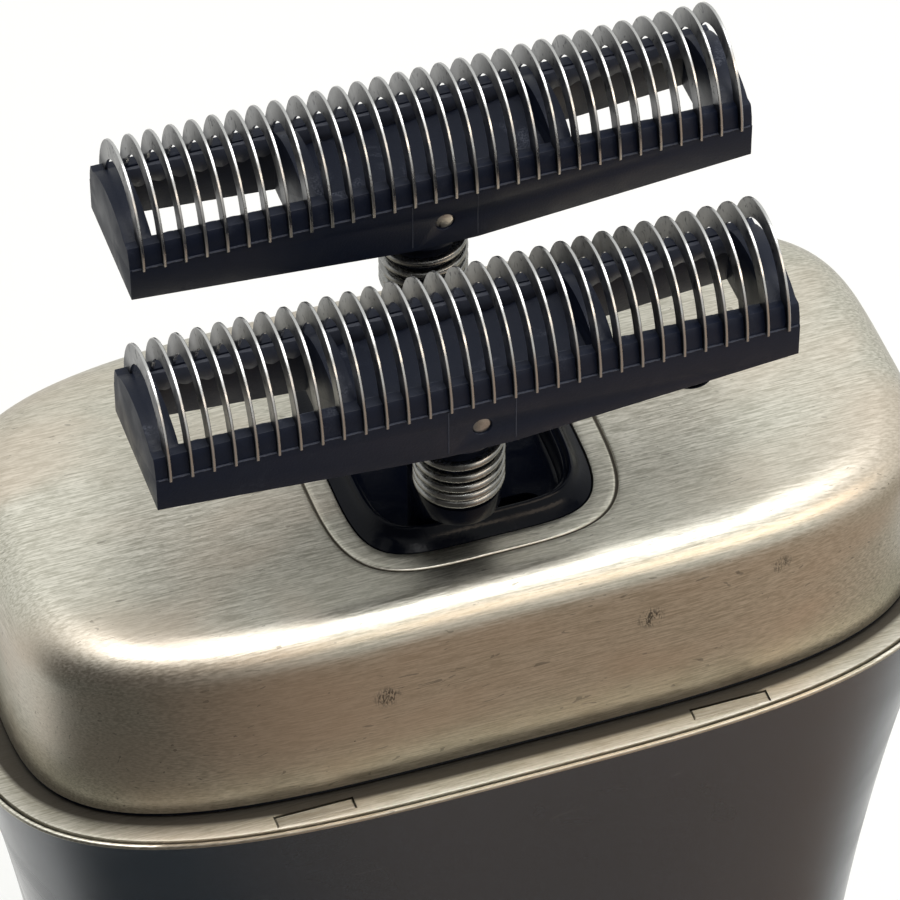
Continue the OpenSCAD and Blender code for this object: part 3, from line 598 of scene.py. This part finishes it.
def make_deck():
    bottom, top = ledge_z + GASKET_T, deck_z - ROUND_UP
    rings = [(DECK_A - 0.12, DECK_B - 0.12, DECK_N, bottom),
             (DECK_A - 0.03, DECK_B - 0.03, DECK_N, bottom + 0.05)]
    rings += [(DECK_A, DECK_B, DECK_N, z) for z in np.linspace(bottom + 0.15, top, 8)]
    for t in np.linspace(0, math.pi / 2, 25)[1:]:
        inset = ROUND_OUT * (1 - math.cos(t) ** (2 / ROUND_N))
        rings.append((DECK_A - inset, DECK_B - inset, DECK_N, top + ROUND_UP * math.sin(t) ** (2 / ROUND_N)))
    last_a, last_b = rings[-1][0], rings[-1][1]
    for share in (0.15, 0.35, 0.6, 0.85):
        rings.append((last_a + (PAD_A + 0.3 - last_a) * share, last_b - (last_b - PAD_B - 0.3) * share,
                      DECK_N + (PAD_N - DECK_N) * share, deck_z))
    for inset, z in ((-0.3, 0), (-0.10, 0), (-0.04, -0.02), (0, -0.08), (0.03, -PAD_D), (0.14, -PAD_D),
                     (0.20, -0.09), (0.28, -0.06), (0.5, -0.05)):
        rings.append((PAD_A - inset, PAD_B - inset, PAD_N, deck_z + z))
    for inset, z in ((-0.4, -0.05), (-0.1, -0.05), (-0.03, -0.08), (0, -0.15), (0, -DECK_WALL)):
        rings.append((OPEN_A - inset, OPEN_B - inset, OPEN_N, deck_z + z))
    a, b, under = DECK_A - DECK_WALL - 1.2, DECK_B - DECK_WALL - 1.2, deck_z - DECK_WALL
    for share in (0.5, 1.0):
        rings.append((OPEN_A + (a - OPEN_A) * share, OPEN_B + (b - OPEN_B) * share, DECK_N, under))
    rings += [(DECK_A - DECK_WALL, DECK_B - DECK_WALL, DECK_N, z) for z in (top - 0.5, bottom)]

    def marks_dust_and_shade(v):
        """Darker in the line round the pad."""
        reach = (abs(v[0]) / PAD_A) ** PAD_N + (abs(v[1]) / PAD_B) ** PAD_N
        return 0.95 if deck_z - 0.2 < v[2] < deck_z - 0.1 and 0.8 < reach < 1.15 else 0.0

    deck = piece("deck_shell", loft([oval_ring(a, b, n, z, 288) for a, b, n, z in rings], closed=True),
                 ["deck_cap"], "champagne_steel", marks_dust_and_shade)
    centre = ((cad_box("deck_plug")[0].x + cad_box("deck_plug")[1].x) / 2, 0, deck_z)
    hole_r, dome_r, dome_low, dome_h = 1.5, 1.26, 0.04, 0.36
    cut(deck, loft(turned([(hole_r, -3), (hole_r, 1)], centre, steps=72)))
    dome = [(1.2, -3), (1.2, -0.1), (dome_r, dome_low)]
    dome += [(dome_r * math.cos(t), dome_low + dome_h * math.sin(t)) for t in np.linspace(0.15, 1.53, 9)]
    piece("plug_dome", loft(turned(dome, centre, steps=72)), ["deck_plug"], "bright_plug")
    ring = [(1.22, -3), (1.22, -0.18), (1.28, -0.09), (1.38, -0.05), (1.44, -0.09), (1.48, -0.2), (1.48, -3)]
    piece("plug_ring", loft(turned(ring, centre, steps=72), closed=True), ["plug_grommet"], "black_rubber")


def make_boot():
    """Rubber tray: a sloped lip up to a double rim, a basin, and slots for the posts."""
    floor_z, thick = -2.2, 0.8
    profile = [(1.8, -2.2), (1.8, -DECK_WALL - 0.02), (-0.05, -DECK_WALL - 0.02), (-0.05, -0.24),
               (-0.09, -0.12), (-0.25, -0.02), (-0.62, 0.22), (-0.86, 0.47), (-1.0, 0.70), (-1.08, 0.82),
               (-1.18, 0.88), (-1.28, 0.86), (-1.34, 0.76), (-1.37, 0.56), (-1.42, 0.46), (-1.52, 0.44),
               (-1.60, 0.38), (-1.66, 0.2), (-1.72, -0.6), (-1.82, -1.15), (-2.05, floor_z + thick + 0.05),
               (-2.5, floor_z + thick), (-4.5, floor_z + thick)]
    rings = [oval_ring(OPEN_A + out, OPEN_B + out, OPEN_N, deck_z + z) for out, z in profile]
    boot = piece("boot_tray", loft(rings), ["boot"], "black_rubber")
    slot_l, slot_w, slot_y = 9, 2.5, 6.4
    for y in (-slot_y, slot_y):
        cut(boot, loft([stadium(slot_l, slot_w, 0, y, deck_z + z) for z in (-4, 0.2)]))


# ---------------------------------------------------------------- cutters

def fin_sheet(x):
    """One thin hoop: a sheet with a chamfered outer edge, open at its feet."""
    h, soft = FIN_T / 2, 0.035
    start = math.asin((FIN_FOOT - FIN_MID) / FIN_RISE)
    rings = []
    for t in np.linspace(start, math.pi - start, 57):
        c, s = math.cos(t), math.sin(t)
        outer = (FIN_A * c, FIN_MID + FIN_RISE * s)
        brow = ((FIN_A - soft) * c, FIN_MID + (FIN_RISE - soft) * s)
        inner = (FIN_IN_A * c, FIN_MID + FIN_IN_RISE * s)
        rings.append([(x - h, *inner), (x + h, *inner), (x + h, *brow), (x + h - soft, *outer),
                      (x - h + soft, *outer), (x - h, *brow)])
    return loft(rings)


def wavy_strip(side, x0, x1, seed):
    """Scalloped band along an inner wall, one scallop for each fin."""
    rng = np.random.default_rng(seed)
    count = int((x1 - x0) / FIN_PITCH * 8)
    wobble = np.interp(np.linspace(0, 1, count + 1), np.linspace(0, 1, 18), rng.uniform(-1, 1, 18))
    rings = []
    for k in range(count + 1):
        x = x0 + (x1 - x0) * k / count
        wave = math.cos(math.pi * x / FIN_PITCH) ** 2
        low = WALL_TOP - 1.45 - 0.2 * wave + 0.08 * wobble[k]
        out = 0.30 + 0.10 * wave + 0.05 * wobble[k]
        y = WALL_IN + 0.1
        rings.append([
            (x, side * y, WALL_TOP - 0.12), (x, side * (y - 0.1 - out * 0.55), WALL_TOP - 0.2),
            (x, side * (y - 0.1 - out), WALL_TOP - 0.55),
            (x, side * (y - 0.12 - out), WALL_TOP - 0.9 - 0.1 * wave),
            (x, side * (y - 0.1 - out * 0.5), low), (x, side * y, low - 0.12),
        ])
    return loft(rings)


def ragged_line(side, seed):
    """Thin uneven flash along the line where the fins' feet end."""
    rng = np.random.default_rng(seed)
    rings = []
    for x in np.linspace(-HALF_L + 0.15, HALF_L - 0.15, 260):
        r = 0.045 + 0.03 * rng.random()
        y, z = RAIL_B - 0.015, FIN_FOOT - 0.03 + 0.03 * (rng.random() - 0.5)
        turns = np.linspace(0, 5.03, 5)
        rings.append([(x, side * (y + r * math.cos(t)), z + r * math.sin(t)) for t in turns])
    return loft(rings)


def seam_ridges(side):
    """Two fine raised lines that frame the boss round the pin."""
    parts = []
    for x in (-2.05, 2.05):
        root, crest = RAIL_B - 0.05, RAIL_B + 0.03
        ring = [(x - 0.05, root), (x + 0.05, root), (x + 0.02, crest), (x - 0.02, crest)]
        parts.append(loft([[(px, side * py, z) for px, py in ring] for z in (11.7, 15.05)]))
    return join(*parts)


def moved(shape, dx, dy, dz):
    verts, faces = shape
    return [(x + dx, y + dy, z + dz) for x, y, z in verts], faces


def coil():
    """Open coil, wider spaced towards the top."""
    low, high = SEAT_Z + WIRE_R, FLANGE_Z - WIRE_R
    rings, steps = [], 300
    for k in range(steps + 1):
        u = k / steps
        t = 2 * math.pi * COIL_TURNS * u
        z = low + (high - low) * (0.55 * u + 0.45 * u * u)
        ring = []
        for w in np.linspace(0, 2 * math.pi, 14, endpoint=False):
            reach = COIL_R + WIRE_R * math.cos(w)
            ring.append((reach * math.cos(t), reach * math.sin(t), z + WIRE_R * math.sin(w)))
        rings.append(ring)
    return loft(rings)


def make_cutters():
    for side_name, side in SIDES.items():
        x, y = side * STROKE, side * CUTTER_Y
        hoops = join(*[fin_sheet((k - (FIN_COUNT - 1) / 2) * FIN_PITCH) for k in range(FIN_COUNT)])
        # Painted shade on the fins' faces: full up to 0.3 mm above the wall's top, gone 1 mm higher.
        piece(side_name + "_blades", moved(hoops, x, y, deck_z), [side_name + "_fins"], "fin_steel",
              lambda v: 0.9 * min(1.0, max(0.0, WALL_TOP + 1.3 - v[2] + deck_z)))
        rounded(side_name + "_frame", "black_moulding", 0.1)
        inner = HALF_L - PLATE_T - 0.05
        rib_out, rib_in = RIB_X + 0.6, RIB_X - 0.6
        strips = []
        for wall in (-1, 1):
            for n, (x0, x1) in enumerate(((-inner, -rib_out), (-rib_in, rib_in), (rib_out, inner))):
                strips.append(wavy_strip(wall, x0, x1, 10 * (wall + 2) + n))
            strips += [ragged_line(wall, 40 + wall), seam_ridges(wall)]
        piece(side_name + "_flash", moved(join(*strips), x, y, deck_z), [], "black_moulding",
              lambda v: 0.4, BODY[side_name + "_frame"])
        rounded(side_name + "_pin", "steel_hardware", 0.1)
        rounded(side_name + "_holder", "black_moulding", 0.12)
        rounded(side_name + "_arm", "black_rubber", 0.15)
        rounded(side_name + "_skirt", "black_rubber", 0.1)
        spring = piece(side_name + "_coil", moved(coil(), x, y, deck_z),
                       [side_name + "_spring"], "spring_steel")
        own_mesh(spring)


# ---------------------------------------------------------------- CAD nodes that stay

def finish_rest():
    """Gives each CAD node that stays its slot's look."""
    slots = {s["node"]: s["material_slot"] for s in frame["record"]["subparts"]}
    for node, obj in frame["nodes"].items():
        if obj.hide_render:
            continue
        obj.data.materials.clear()
        obj.data.materials.append(LOOKS[slots[node]])


# ---------------------------------------------------------------- camera, floor and light

def make_camera():
    data = bpy.data.cameras.new("camera")
    data.lens, data.sensor_width = 230.15, 36
    data.clip_start, data.clip_end = 0.01, 20
    camera = bpy.data.objects.new("camera", data)
    scene.collection.objects.link(camera)
    from_deck = Vector((-78.04, -231.99, 248.67))
    heading, tilt, roll = -0.3267, 0.7744, -0.003
    turn = (Matrix.Rotation(heading, 4, "Z") @ Matrix.Rotation(tilt, 4, "X")
            @ Matrix.Rotation(roll, 4, "Z"))
    camera.matrix_world = Matrix.Translation((from_deck + Vector((0, 0, deck_z))) * MM) @ turn
    scene.camera = camera


def softbox(name, place, aim, size, power, colour=(1, 1, 1)):
    data = bpy.data.lights.new(name, "AREA")
    data.shape = "RECTANGLE"
    data.size, data.size_y = size
    data.energy = power
    data.color = colour
    light = bpy.data.objects.new(name, data)
    scene.collection.objects.link(light)
    light.location = place
    light.rotation_euler = (Vector(aim) - Vector(place)).to_track_quat("-Z", "Y").to_euler()


def sky(world):
    """Bright room with a dark patch above the front left.

    Below the horizon the front is dim on the left, warm in the middle and pale on the right.
    """
    world.use_nodes = True
    tree = world.node_tree
    direction = tree.nodes.new("ShaderNodeTexCoord").outputs["Generated"]
    split = tree.nodes.new("ShaderNodeSeparateXYZ")
    tree.links.new(direction, split.inputs[0])

    def share(axis, low, high):
        node = tree.nodes.new("ShaderNodeMapRange")
        node.interpolation_type = "SMOOTHSTEP"
        tree.links.new(split.outputs[axis], node.inputs["Value"])
        node.inputs["From Min"].default_value = min(low, high)
        node.inputs["From Max"].default_value = max(low, high)
        ends = (0.0, 1.0) if low < high else (1.0, 0.0)
        node.inputs["To Min"].default_value, node.inputs["To Max"].default_value = ends
        return node.outputs["Result"]

    def both(a, b):
        node = tree.nodes.new("ShaderNodeMath")
        node.operation = "MULTIPLY"
        tree.links.new(a, node.inputs[0])
        tree.links.new(b, node.inputs[1])
        return node.outputs[0]

    def blend(fac, a, b):
        node = tree.nodes.new("ShaderNodeMix")
        node.data_type = "RGBA"
        tree.links.new(fac, node.inputs[0])
        for socket, colour in ((node.inputs[6], a), (node.inputs[7], b)):
            if isinstance(colour, tuple):
                socket.default_value = (*colour, 1)
            else:
                tree.links.new(colour, socket)
        return node.outputs[2]

    dim_left, warm, pale_right = (0.09, 0.088, 0.08), (0.43, 0.325, 0.25), (0.40, 0.385, 0.34)
    front = blend(share("X", -0.15, 0.38), dim_left, warm)
    front = blend(share("X", 0.45, 0.8), front, pale_right)
    below = blend(share("Y", -0.2, 0.25), front, (0.72, 0.72, 0.70))
    dark = both(both(share("X", 0.3, -0.15), share("Y", 0.35, -0.25)), share("Z", 0.95, 0.65))
    above = blend(dark, (0.78, 0.79, 0.765), (0.07, 0.065, 0.06))
    colour = blend(share("Z", -0.12, 0.2), below, above)
    tree.links.new(colour, tree.nodes["Background"].inputs["Color"])


def make_studio():
    mesh = bpy.data.meshes.new("floor")
    r = 4.0
    mesh.from_pydata([(-r, -r, 0), (r, -r, 0), (r, r, 0), (-r, r, 0)], [], [(0, 1, 2, 3)])
    floor = bpy.data.objects.new("floor", mesh)
    scene.collection.objects.link(floor)
    floor.visible_glossy = False
    paper = Finish("floor_paper", (0.9, 0.9, 0.895), 0.8)
    paper.bump(paper.noise((900, 900, 900)), 0.02)
    mesh.materials.append(paper.material)
    target = (0, 0, 0.1)
    softbox("key", (0.1, -0.1, 1.5), target, (0.9, 0.7), 11)
    softbox("warm", (0.42, -0.62, 0.72), target, (0.55, 0.22), 1.3, (1.0, 0.80, 0.60))
    world = bpy.data.worlds.new("studio")
    sky(world)
    scene.world = world
    scene.view_settings.view_transform = "Standard"


make_camera()
make_studio()
make_handle()
make_ledge()
make_deck()
make_boot()
make_cutters()
finish_rest()
